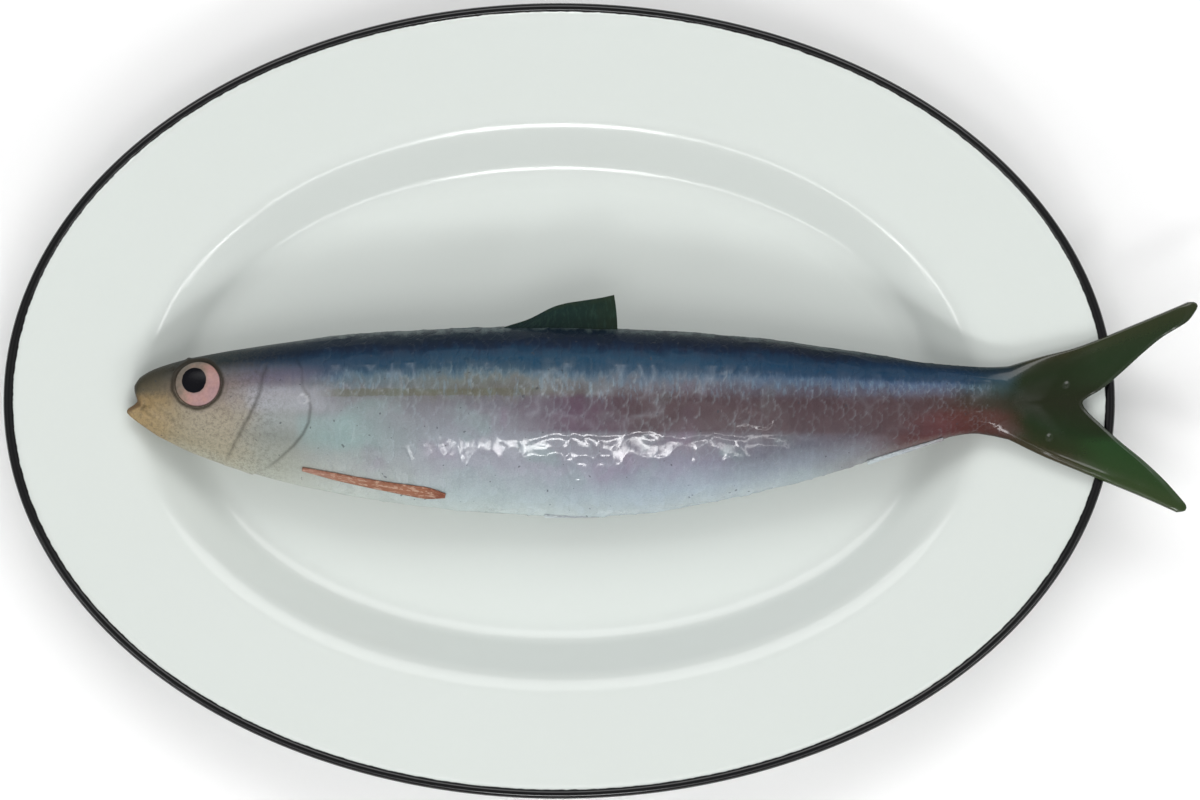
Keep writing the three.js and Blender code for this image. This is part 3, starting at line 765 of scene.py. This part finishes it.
class Material:
    """A node material, with short ways to add and join nodes."""

    def __init__(self, name):
        self.material = bpy.data.materials.new(name)
        self.material.use_nodes = True
        self.tree = self.material.node_tree
        self.shader = self.tree.nodes["Principled BSDF"]

    def set(self, **values):
        for name, value in values.items():
            self.wire(value, self.shader.inputs[name.replace("_", " ")])

    def wire(self, value, socket):
        """Link a socket's value, or set a plain one."""
        if isinstance(value, bpy.types.NodeSocket):
            self.tree.links.new(value, socket)
        else:
            socket.default_value = value

    def add(self, kind, inputs=(), **settings):
        node = self.tree.nodes.new(kind)
        for key, value in settings.items():
            setattr(node, key, value)
        for key, value in dict(inputs).items():
            self.wire(value, node.inputs[key])
        return node

    def attribute(self, name):
        return self.add("ShaderNodeAttribute", attribute_name=name).outputs["Fac"]

    def math(self, operation, a, b=0.0, clamp=False):
        inputs = {0: a, 1: b}
        return self.add("ShaderNodeMath", inputs, operation=operation, use_clamp=clamp).outputs[0]

    def product(self, first, *others):
        for other in others:
            first = self.math("MULTIPLY", first, other)
        return first

    def scaled(self, value, factor, offset=0.0):
        inputs = {0: value, 1: factor, 2: offset}
        return self.add("ShaderNodeMath", inputs, operation="MULTIPLY_ADD").outputs[0]

    def stirred(self, value, noise, spread, clamp=False):
        """A value that noise moves by up to half the spread either way."""
        return self.math("ADD", value, self.scaled(noise, spread, -spread / 2), clamp)

    def between(self, value, low, high):
        """0 below low, 1 above high and smooth between."""
        inputs = {"Value": value, "From Min": low, "From Max": high}
        return self.add("ShaderNodeMapRange", inputs, interpolation_type="SMOOTHSTEP").outputs[0]

    def span(self, value, start, full, fading=None, end=None):
        """1 from full to fading, 0 before start and after end. Without an end it stays 1."""
        rising = self.between(value, start, full)
        return rising if end is None else self.product(rising, self.between(value, end, fading))

    def vector(self, x, y, z=0.0):
        return self.add("ShaderNodeCombineXYZ", {0: x, 1: y, 2: z}).outputs[0]

    def noise(self, vector, scale, detail=3.0, rough=0.55):
        inputs = {"Vector": vector, "Scale": scale, "Detail": detail, "Roughness": rough}
        return self.add("ShaderNodeTexNoise", inputs).outputs["Fac"]

    def ramp(self, value, stops, gain=1.0, veil=0.0):
        """A colour read off stops of place, red, green and blue."""
        node = self.add("ShaderNodeValToRGB", {"Fac": value})
        elements = node.color_ramp.elements
        for place, *_ in stops[1:-1]:
            elements.new(place)
        for element, (place, *rgb) in zip(elements, stops):
            element.position = place
            element.color = linear(rgb, gain, veil)
        return node.outputs["Color"]

    def mix(self, factor, a, b, blend="MIX"):
        node = self.tree.nodes.new("ShaderNodeMix")
        node.data_type = "RGBA"
        node.blend_type = blend
        for value, index in zip((factor, a, b), COLOUR_MIX_SOCKETS):
            self.wire(value, node.inputs[index])
        return node.outputs[2]

    def paint(self, colour, mask, strength, rgb):
        """A colour with another laid over it where the mask says, at most at the given strength."""
        return self.mix(self.scaled(mask, strength), colour, linear(rgb))

    def shade(self, colour, level, amount=1.0):
        """A colour made darker or lighter by a grey level."""
        return self.mix(amount, colour, self.vector(level, level, level), "MULTIPLY")

    def bump(self, height, strength, distance, normal=None):
        inputs = {"Height": height, "Strength": strength, "Distance": distance}
        node = self.add("ShaderNodeBump", inputs)
        if normal is not None:
            self.wire(normal, node.inputs["Normal"])
        return node.outputs["Normal"]

    def place(self):
        """The point's place in millimetres."""
        point = self.add("ShaderNodeTexCoord").outputs["Object"]
        return self.add("ShaderNodeVectorMath", {0: point, 3: 1 / MM}, operation="SCALE").outputs[0]


# Colours at stations along the fish, each from 0 at the belly to 1 at the back.
# Where a station's last stop at the back is lighter than the one before it, that is a painted
# reflection along the ridge of the back.
STATIONS = [
    (-113.0, [  # snout
        (0.0, 158, 146, 118), (0.4, 146, 134, 108), (0.55, 124, 112, 90), (0.68, 98, 91, 75),
        (0.84, 72, 69, 58), (1.0, 60, 58, 50),
    ]),
    (-92.0, [  # cheek
        (0.0, 182, 180, 164), (0.1, 166, 160, 140), (0.4, 162, 153, 136), (0.55, 147, 136, 126),
        (0.68, 126, 114, 110), (0.8, 92, 92, 92), (0.88, 50, 58, 60), (1.0, 42, 50, 52),
    ]),
    (-76.0, [  # cover
        (0.0, 188, 192, 182), (0.1, 166, 169, 158), (0.3, 138, 143, 138), (0.42, 152, 158, 157),
        (0.6, 138, 135, 136), (0.72, 98, 100, 114), (0.8, 58, 76, 90), (0.88, 27, 42, 56),
        (0.96, 30, 42, 52), (1.0, 78, 88, 88),
    ]),
    (-57.0, [  # front
        (0.0, 192, 199, 194), (0.18, 162, 168, 167), (0.32, 140, 152, 152), (0.5, 136, 140, 144),
        (0.62, 118, 119, 121), (0.68, 98, 110, 116), (0.73, 82, 106, 122), (0.8, 36, 74, 98),
        (0.87, 19, 38, 54), (0.955, 34, 44, 54), (0.99, 92, 102, 102),
    ]),
    (-22.0, [  # middle
        (0.0, 188, 200, 199), (0.1, 172, 185, 188), (0.24, 158, 161, 171), (0.4, 138, 142, 151),
        (0.56, 116, 114, 122), (0.64, 106, 104, 98), (0.69, 112, 113, 106), (0.74, 100, 122, 132),
        (0.81, 36, 84, 108), (0.87, 20, 38, 54), (0.955, 32, 43, 53), (0.99, 84, 96, 98),
    ]),
    (30.0, [  # rear
        (0.0, 180, 192, 196), (0.1, 166, 179, 190), (0.24, 142, 142, 158), (0.36, 122, 118, 128),
        (0.48, 92, 82, 88), (0.6, 92, 80, 84), (0.67, 106, 100, 106), (0.74, 94, 114, 132),
        (0.81, 38, 86, 112), (0.87, 22, 38, 56), (0.955, 30, 40, 50), (0.99, 78, 90, 90),
    ]),
    (63.0, [  # waist
        (0.0, 174, 186, 190), (0.12, 142, 150, 160), (0.24, 104, 105, 116), (0.4, 96, 88, 93),
        (0.53, 79, 68, 73), (0.63, 90, 87, 98), (0.72, 80, 97, 120), (0.8, 30, 74, 104),
        (0.88, 22, 38, 56), (0.96, 28, 38, 46), (0.99, 68, 80, 80),
    ]),
    (100.0, [  # stalk
        (0.0, 124, 108, 106), (0.08, 88, 60, 60), (0.3, 83, 56, 53), (0.5, 83, 67, 67),
        (0.6, 92, 92, 106), (0.7, 80, 92, 118), (0.8, 46, 78, 104), (0.88, 22, 53, 78),
        (0.95, 24, 44, 58), (1.0, 52, 64, 68),
    ]),
    (118.0, [  # root
        (0.0, 64, 50, 44), (0.3, 66, 52, 44), (0.5, 60, 58, 50), (0.66, 58, 72, 72), (0.8, 42, 68, 80),
        (0.9, 20, 48, 62), (1.0, 28, 48, 52),
    ]),
    (127.0, [  # tail
        (0.0, 64, 58, 42), (0.12, 46, 52, 34), (0.3, 36, 50, 30), (0.5, 40, 44, 30), (0.75, 38, 48, 32),
        (0.9, 44, 50, 35), (1.0, 56, 54, 38),
    ]),
]
SKIN_GAIN = 0.9
SKIN_VEIL = 0.014

# Patches painted over the stations' colours: the colour, its strength and, for each way that the
# patch is bounded, where it starts, is full, fades and ends.
OLIVE_STRIPE = ((90, 90, 68), 0.55, {"wavy": (-0.2, 0.2, 1.6, 2.1), "along": (-66, -58, -22, 8)})
FLANK_PATCHES = [
    # A red lower waist, then the deepest blue just under the back and a lighter band below it.
    ((104, 38, 42), 0.24, {"along": (88, 104, 116, 126), "share": (0.0, 0.06, 0.26, 0.44)}),
    ((6, 40, 66), 0.66, {"share": (0.685, 0.765, 0.84, 0.92), "along": (-92, -60, 110, 120)}),
    ((92, 122, 142), 0.1, {"share": (0.62, 0.67, 0.705, 0.745), "along": (-66, -50, 110, 120)}),
]
END_PATCHES = [
    # Green middles of the tail's lobes, the lower one most.
    ((32, 74, 30), 0.42, {"along_here": (132, 148), "height": (-9, -12.5)}),
    ((34, 66, 34), 0.18, {"along_here": (134, 146), "height": (1, 6)}),
    # Silver across the gill cover, partly the skin's own silver and partly a painted sheen, mauve above
    # it and teal behind, and the lower jaw's brown tip.
    ((176, 180, 190), 0.35, {"along_here": (-92, -80, -70, -52), "wavy": (-5, -2, 1.5, 4)}),
    ((132, 112, 126), 0.24, {"along_here": (-92, -80, -70, -52), "wavy": (1.5, 5, 5.5, 10.5)}),
    ((134, 162, 160), 0.35, {"along_here": (-74, -66, -54, -40), "wavy": (-16, -11, -7, -3)}),
    ((92, 68, 46), 0.7, {"along": (-114.6, -116.2), "height": (-4.0, -2.6)}),
]


def skin_places(m):
    """Sockets that say where on the skin a point lies, shared by all the layers of paint."""
    at = SimpleNamespace(
        place=m.place(), along=m.attribute("along"), height=m.attribute("height_y"),
        column=m.attribute("column"), row=m.attribute("row"), tone=m.attribute("scale_tone"),
    )
    streak = m.noise(m.vector(m.scaled(at.column, 2.4), m.scaled(at.row, 0.5)), 1.0, 4.0, 0.7)
    at.blotch = m.noise(at.place, 0.09, 3.0)
    share = m.stirred(m.attribute("share"), streak, 0.08)
    share = m.stirred(share, at.blotch, 0.05)
    at.share = m.stirred(share, at.tone, 0.03, clamp=True)
    at.along_here = m.stirred(at.along, at.blotch, 14.0)
    at.wavy = m.stirred(at.height, m.noise(at.place, 0.4, 2.0), 1.2)
    at.on_body = m.between(at.along, 120, 110)
    return at


def paint_stations(m, at):
    """The colours across the flank, blended from station to station along the fish."""
    colour = m.ramp(at.share, STATIONS[0][1], SKIN_GAIN, SKIN_VEIL)
    for (start, _), (end, stops) in zip(STATIONS, STATIONS[1:]):
        step = m.between(at.along_here, start, end)
        colour = m.mix(step, colour, m.ramp(at.share, stops, SKIN_GAIN, SKIN_VEIL))
    return colour


def paint_patches(m, at, colour, patches):
    for rgb, strength, edges in patches:
        mask = m.product(*[m.span(getattr(at, name), *places) for name, places in edges.items()])
        colour = m.paint(colour, mask, strength, rgb)
    return colour


def paint_flank(m, at, colour):
    # Purple and teal clouds on the silver part of the flank.
    flank = m.product(m.span(at.share, 0.06, 0.3, 0.55, 0.74), m.span(at.along, -74, -55, 40, 74))
    cloud = m.noise(at.place, 0.075, 2.0)
    colour = m.paint(colour, m.product(flank, m.between(cloud, 0.54, 0.68)), 0.3, (128, 156, 152))
    colour = m.paint(colour, m.product(flank, m.between(cloud, 0.46, 0.32)), 0.3, (126, 104, 128))

    # An olive stripe behind the gill cover, a purple bruise below the back fin, and painted light that
    # makes the belly side a little lighter.
    colour = paint_patches(m, at, colour, [OLIVE_STRIPE])
    bruise = m.product(m.span(at.wavy, -10.4, -8.6, -1.2, 1.2), m.span(at.along_here, -16, 2, 94, 112))
    bruise_colour = m.mix(m.between(at.along_here, 4, 24), linear((80, 54, 74)), linear((72, 55, 59)))
    colour = m.mix(m.scaled(bruise, 0.72), colour, bruise_colour)
    # Painted light: the belly side a little lighter.
    return m.shade(colour, m.scaled(m.between(at.share, 0.4, 0.18), 0.04, 1.0), at.on_body)


def paint_scales(m, at, colour):
    """The net of scales: pale free edges, strongest in the blue band, and a paler tint along the
    strokes, a painted highlight on their ridges.
    """
    blue_band = m.span(at.share, 0.56, 0.65, 0.68, 0.77)
    silver = m.between(at.share, 0.76, 0.62)
    strength = m.math("ADD", m.scaled(blue_band, 0.14), m.scaled(silver, 0.18, 0.03))
    edge = m.product(m.attribute("scale_edge"), m.between(m.noise(at.place, 0.3, 2.0), 0.3, 0.55))
    edge = m.product(edge, m.scaled(m.between(at.along, 78, 20), 0.3, 0.7), strength)
    colour = m.mix(edge, colour, linear((176, 190, 198)))
    fleck = m.noise(m.vector(m.scaled(at.column, 2.6), m.scaled(at.row, 0.8), at.blotch), 1.3, 2.0)
    fleck = m.product(m.between(fleck, 0.52, 0.66), blue_band, m.span(at.along, -72, -58, 110, 120))
    colour = m.paint(colour, fleck, 0.26, (118, 146, 164))
    # A painted highlight along the ridges of the strokes.
    colour = m.paint(colour, m.attribute("stroke"), 0.16, (176, 186, 196))
    return m.shade(colour, m.scaled(at.tone, 0.14, 0.93))


def paint_jaws(m, at, colour):
    """Ochre about the jaws, stronger where the blotches are."""
    jaw = m.product(m.between(at.along_here, -101, -112), m.between(at.wavy, 2.6, -0.4))
    return m.mix(m.product(jaw, m.scaled(at.blotch, 0.6, 0.1)), colour, linear((168, 136, 84)))


def paint_marks(m, at, colour):
    """Grain and dark specks, closest together on the head, then the head's dark marks, mostly painted
    shade in its grooves, and the torn scale's pale rim, partly a painted highlight.
    """
    colour = m.shade(colour, m.scaled(m.noise(at.place, 2.6, 2.0), 0.5, 0.75), 0.7)
    pepper = m.between(m.noise(at.place, 0.9, 5.0, 0.85), 0.42, 0.66)
    pepper = m.product(pepper, m.scaled(m.between(at.along, -66, -84), 0.42, 0.03))
    colour = m.mix(pepper, colour, linear((66, 62, 56)))
    dots = m.between(m.noise(at.place, 0.62, 1.0), 0.74, 0.78)
    colour = m.paint(colour, m.product(dots, at.on_body), 0.6, (52, 56, 64))
    # Painted shade in the head's grooves and round the eye socket, with dark spots on the crown and
    # gill cover.
    colour = m.paint(colour, m.attribute("lines"), 0.86, (40, 34, 24))
    # The torn scale's pale rim, partly a painted highlight.
    return m.paint(colour, m.attribute("pale"), 0.55, (196, 198, 202))


def skin_material():
    m = Material("herring_skin")
    at = skin_places(m)
    colour = paint_stations(m, at)
    colour = paint_flank(m, at, colour)
    colour = paint_patches(m, at, colour, FLANK_PATCHES)
    colour = paint_scales(m, at, colour)
    colour = paint_jaws(m, at, colour)
    colour = paint_patches(m, at, colour, END_PATCHES)
    colour = paint_marks(m, at, colour)

    # A wet film on the middle of the flank, the tail and the torn scale.
    wet = m.product(m.span(at.along_here, -66, 2, 54, 64), m.between(at.share, 0.8, 0.6))
    wet = m.math("MAXIMUM", wet, m.scaled(m.between(at.along, 108, 128), 0.9))
    wet = m.math("MAXIMUM", wet, m.attribute("pale"))
    fine = m.bump(m.noise(at.place, 5.0, 3.0), 0.3, 0.0002)
    m.set(
        Base_Color=colour,
        Roughness=m.stirred(m.scaled(wet, -0.24, 0.46), m.noise(at.place, 0.8, 3.0), 0.14),
        Coat_Weight=m.scaled(wet, 0.75, 0.05), Coat_Roughness=0.11, Specular_IOR_Level=0.15,
        Normal=m.bump(m.attribute("scale_edge"), 0.5, 0.0004, fine),
    )
    return m.material


def fin_material(name, edge, stops, streak, rays, specular=0.25):
    """A fin's colour from its stops along it, darker at its long edges and streaked along its rays."""
    m = Material(name)
    u, v = m.attribute("fin_u"), m.attribute("fin_v")
    place = m.place()
    across = m.vector(m.scaled(u, rays[0]), m.scaled(v, rays[1]))
    threads = m.noise(across, 1.0, 3.0, 0.7)
    blotch = m.noise(place, 0.5, 3.0)
    colour = m.ramp(m.stirred(u, blotch, 0.3, clamp=True), stops)
    colour = m.paint(colour, m.between(threads, 0.5, 0.62), 0.6, streak)
    rim = m.math("ADD", m.between(v, 0.2, 0.04), m.between(v, 0.8, 0.96), clamp=True)
    rim = m.product(rim, m.between(m.noise(place, 0.9, 2.0), 0.35, 0.6))
    colour = m.paint(colour, rim, 0.7, edge)
    m.set(
        Base_Color=colour, Roughness=m.scaled(blotch, 0.3, 0.25), Coat_Weight=0.1,
        Coat_Roughness=0.15, Specular_IOR_Level=specular, Normal=m.bump(threads, 0.5, 0.0003),
    )
    return m.material


def eye_material():
    m = Material("eye")
    r, x, y = m.attribute("eye_r"), m.attribute("eye_x"), m.attribute("eye_y")
    place = m.place()
    off_x, off_y = m.math("SUBTRACT", x, PUPIL_AT[0]), m.math("SUBTRACT", y, PUPIL_AT[1])
    square = m.math("ADD", m.product(off_x, off_x), m.product(off_y, off_y))
    from_pupil = m.stirred(m.math("SQRT", square), m.noise(place, 0.5), 0.06)
    # The iris is darker towards the snout and the back: partly its own olive and pink, partly painted
    # shade.
    slant = m.stirred(m.math("SUBTRACT", x, y), m.noise(place, 0.28, 3.0), 3.0)
    iris = m.ramp(m.between(slant, -1.3, 1.4), [
        (0.0, 112, 104, 94), (0.35, 144, 120, 108), (0.65, 164, 128, 121), (1.0, 156, 126, 127),
    ])
    iris = m.shade(iris, m.scaled(m.noise(place, 1.3, 4.0), 0.6, 0.7), 0.8)
    inner = m.between(from_pupil, PUPIL_RADIUS + 0.135, PUPIL_RADIUS + 0.025)
    iris = m.paint(iris, inner, 0.4, (122, 112, 104))
    edge = m.between(from_pupil, PUPIL_RADIUS, PUPIL_RADIUS + 0.025)
    colour = m.mix(edge, linear((6, 6, 12)), iris)
    # Painted shade: a dark band at the eye's edge where it meets the socket.
    colour = m.mix(m.between(r, 0.9, 0.97), colour, linear((38, 30, 20)))
    m.set(
        Base_Color=colour, Roughness=0.25, Specular_IOR_Level=0.14,
        Normal=m.bump(m.noise(place, 2.0), 0.15, 0.0002),
    )
    return m.material


RIM_BAND = 2.45           # how far in from the edge the black goes


def enamel_material():
    m = Material("enamel")
    inset = m.attribute("inset")
    place = m.place()
    white = m.paint(linear((210, 216, 212)), m.noise(place, 0.6, 3.0), 0.2, (204, 210, 206))
    white = m.paint(white, m.noise(place, 0.02, 2.0), 0.3, (204, 208, 204))
    wander = m.stirred(inset, m.noise(place, 0.35, 2.0), 0.5)
    band = m.between(wander, RIM_BAND - 0.12, RIM_BAND + 0.12)
    black = m.mix(m.noise(place, 1.5), linear((2, 2, 3)), linear((8, 8, 10)))
    colour = m.mix(band, black, white)
    m.set(
        Base_Color=colour, Roughness=m.scaled(m.noise(place, 0.15, 4.0), 0.08, 0.1),
        Specular_IOR_Level=0.42,
        Normal=m.bump(m.noise(place, 0.12, 3.0), 0.12, 0.0006),
    )
    return m.material


# ---- the object


def finish_piece(piece, material, slot, *nodes):
    """Give a piece its material, hang it from the root, and hide the frame's parts for the nodes it
    stands for.
    """
    piece.data.materials.append(material)
    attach(piece, "root")
    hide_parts(*nodes)


def make_object():
    finish_piece(make_plate(), enamel_material(), "enamel", "plate")
    finish_piece(make_skin(), skin_material(), "fish_skin", "fish_body", "caudal_fin")
    dark = fin_material("dorsal_fin", (30, 42, 28), [
        (0.0, 22, 40, 42), (0.4, 14, 36, 34), (0.8, 16, 36, 30), (1.0, 26, 40, 28),
    ], (30, 52, 44), (30.0, 2.5), 0.15)
    finish_piece(make_dorsal_fin(), dark, "dark_fin", "dorsal_fin")
    ochre = fin_material("pectoral_fin", (112, 66, 46), [
        (0.0, 152, 114, 100), (0.25, 150, 106, 86), (0.5, 138, 90, 68), (0.75, 148, 98, 74),
        (1.0, 120, 66, 46),
    ], (198, 170, 150), (16.0, 4.0))
    pale = fin_material("pale_fin", (138, 142, 148), [
        (0.0, 186, 196, 198), (0.5, 170, 176, 182), (1.0, 150, 146, 148),
    ], (206, 210, 212), (8.0, 5.0))
    for side, word in ((1, "left"), (-1, "right")):
        pectoral = folded_fin(f"pectoral_fin_{word}_blade", side, **PECTORAL_FIN)
        finish_piece(pectoral, ochre, "ochre_fin", f"pectoral_fin_{word}")
        pelvic = folded_fin(f"pelvic_fin_{word}_blade", side, **PELVIC_FIN)
        finish_piece(pelvic, pale, "pale_fin", f"pelvic_fin_{word}")
        finish_piece(make_eye(f"eye_{word}_ball", side), eye_material(), "eye", f"eye_{word}")
    finish_piece(folded_fin("anal_fin_blade", 1, **ANAL_FIN), pale, "pale_fin", "anal_fin")


# ---- stage, light and camera

VIEW_ELEVATION = 84.5
VIEW_CENTRE = (11.0, -0.6)
VIEW_WIDTH = 323.4
VIEW_DISTANCE = 1500.0
SENSOR = 36.0
SKY_GREYS = [(0.0, 0.36), (0.5, 0.5), (0.84, 1.0), (0.985, 0.42)]
SKY_STRENGTH = 0.73
AIM = (0, 0, 0.02)
# Place, target and size in metres, and watts, of each area light.
AREA_LIGHTS = {
    "strip": ((0, -0.86, 0.7), AIM, (3.0, 0.06), 4.6),
    "lamp": ((0.004, -0.645, 0.56), (0.004, 0, 0.02), (0.2, 0.1), 0.95),
    "key": ((0, -0.36, 0.8), AIM, (0.5, 0.3), 1.1),
    "far": ((0, 0.8, 0.85), AIM, (1.4, 0.5), 6.5),
    "strip_-1": ((-1.15, -0.78, 0.85), (-0.08, 0.04, 0.01), (0.8, 0.07), 2.6),
    "strip_1": ((1.15, -0.78, 0.85), (0.08, 0.04, 0.01), (0.8, 0.07), 2.6),
}
OUT_OF_REFLECTIONS = "key"
FLOOR_REACH = 6.0


def make_floor():
    mesh = bpy.data.meshes.new("floor")
    corners = [(FLOOR_REACH * x, FLOOR_REACH * y, 0) for x, y in ((-1, -1), (1, -1), (1, 1), (-1, 1))]
    mesh.from_pydata(corners, [], [(0, 1, 2, 3)])
    floor = bpy.data.objects.new("floor", mesh)
    bpy.context.scene.collection.objects.link(floor)
    m = Material("floor")
    m.set(Base_Color=linear((244, 244, 244)), Roughness=0.9)
    mesh.materials.append(m.material)


def add_area(name, place, target, size, watts):
    light = bpy.data.lights.new(name, "AREA")
    light.shape = "RECTANGLE"
    light.size, light.size_y = size
    light.energy = watts
    lamp = bpy.data.objects.new(name, light)
    lamp.location = place
    lamp.rotation_euler = (Vector(target) - Vector(place)).to_track_quat("-Z", "Y").to_euler()
    lamp.visible_camera = False
    lamp.visible_glossy = name != OUT_OF_REFLECTIONS
    bpy.context.scene.collection.objects.link(lamp)


def make_sky():
    """A soft sky, brightest about half way up and darker overhead."""
    world = bpy.data.worlds.new("studio")
    world.use_nodes = True
    tree = world.node_tree
    coordinate = tree.nodes.new("ShaderNodeTexCoord")
    parts = tree.nodes.new("ShaderNodeSeparateXYZ")
    ramp = tree.nodes.new("ShaderNodeValToRGB")
    elements = ramp.color_ramp.elements
    for place, _ in SKY_GREYS[2:]:
        elements.new(place)
    for element, (place, grey) in zip(elements, SKY_GREYS):
        element.position = place
        element.color = (grey, grey, grey, 1.0)
    tree.links.new(coordinate.outputs["Generated"], parts.inputs[0])
    tree.links.new(parts.outputs["Z"], ramp.inputs["Fac"])
    background = tree.nodes["Background"]
    tree.links.new(ramp.outputs["Color"], background.inputs["Color"])
    background.inputs["Strength"].default_value = SKY_STRENGTH
    bpy.context.scene.world = world


def make_light():
    make_sky()
    for name, (place, target, size, watts) in AREA_LIGHTS.items():
        add_area(name, place, target, size, watts)
    bpy.context.scene.view_settings.view_transform = "Standard"


def make_camera():
    data = bpy.data.cameras.new("camera")
    data.sensor_width = SENSOR
    data.lens = SENSOR * VIEW_DISTANCE / VIEW_WIDTH
    camera = bpy.data.objects.new("camera", data)
    target = Vector((*VIEW_CENTRE, PLATE_HIGH[2])) * MM
    tilt = math.radians(VIEW_ELEVATION)
    back = Vector((0, -math.cos(tilt), math.sin(tilt)))
    camera.location = target + back * VIEW_DISTANCE * MM
    camera.rotation_euler = (-back).to_track_quat("-Z", "Y").to_euler()
    bpy.context.scene.collection.objects.link(camera)
    bpy.context.scene.camera = camera


make_object()
make_floor()
make_light()
make_camera()
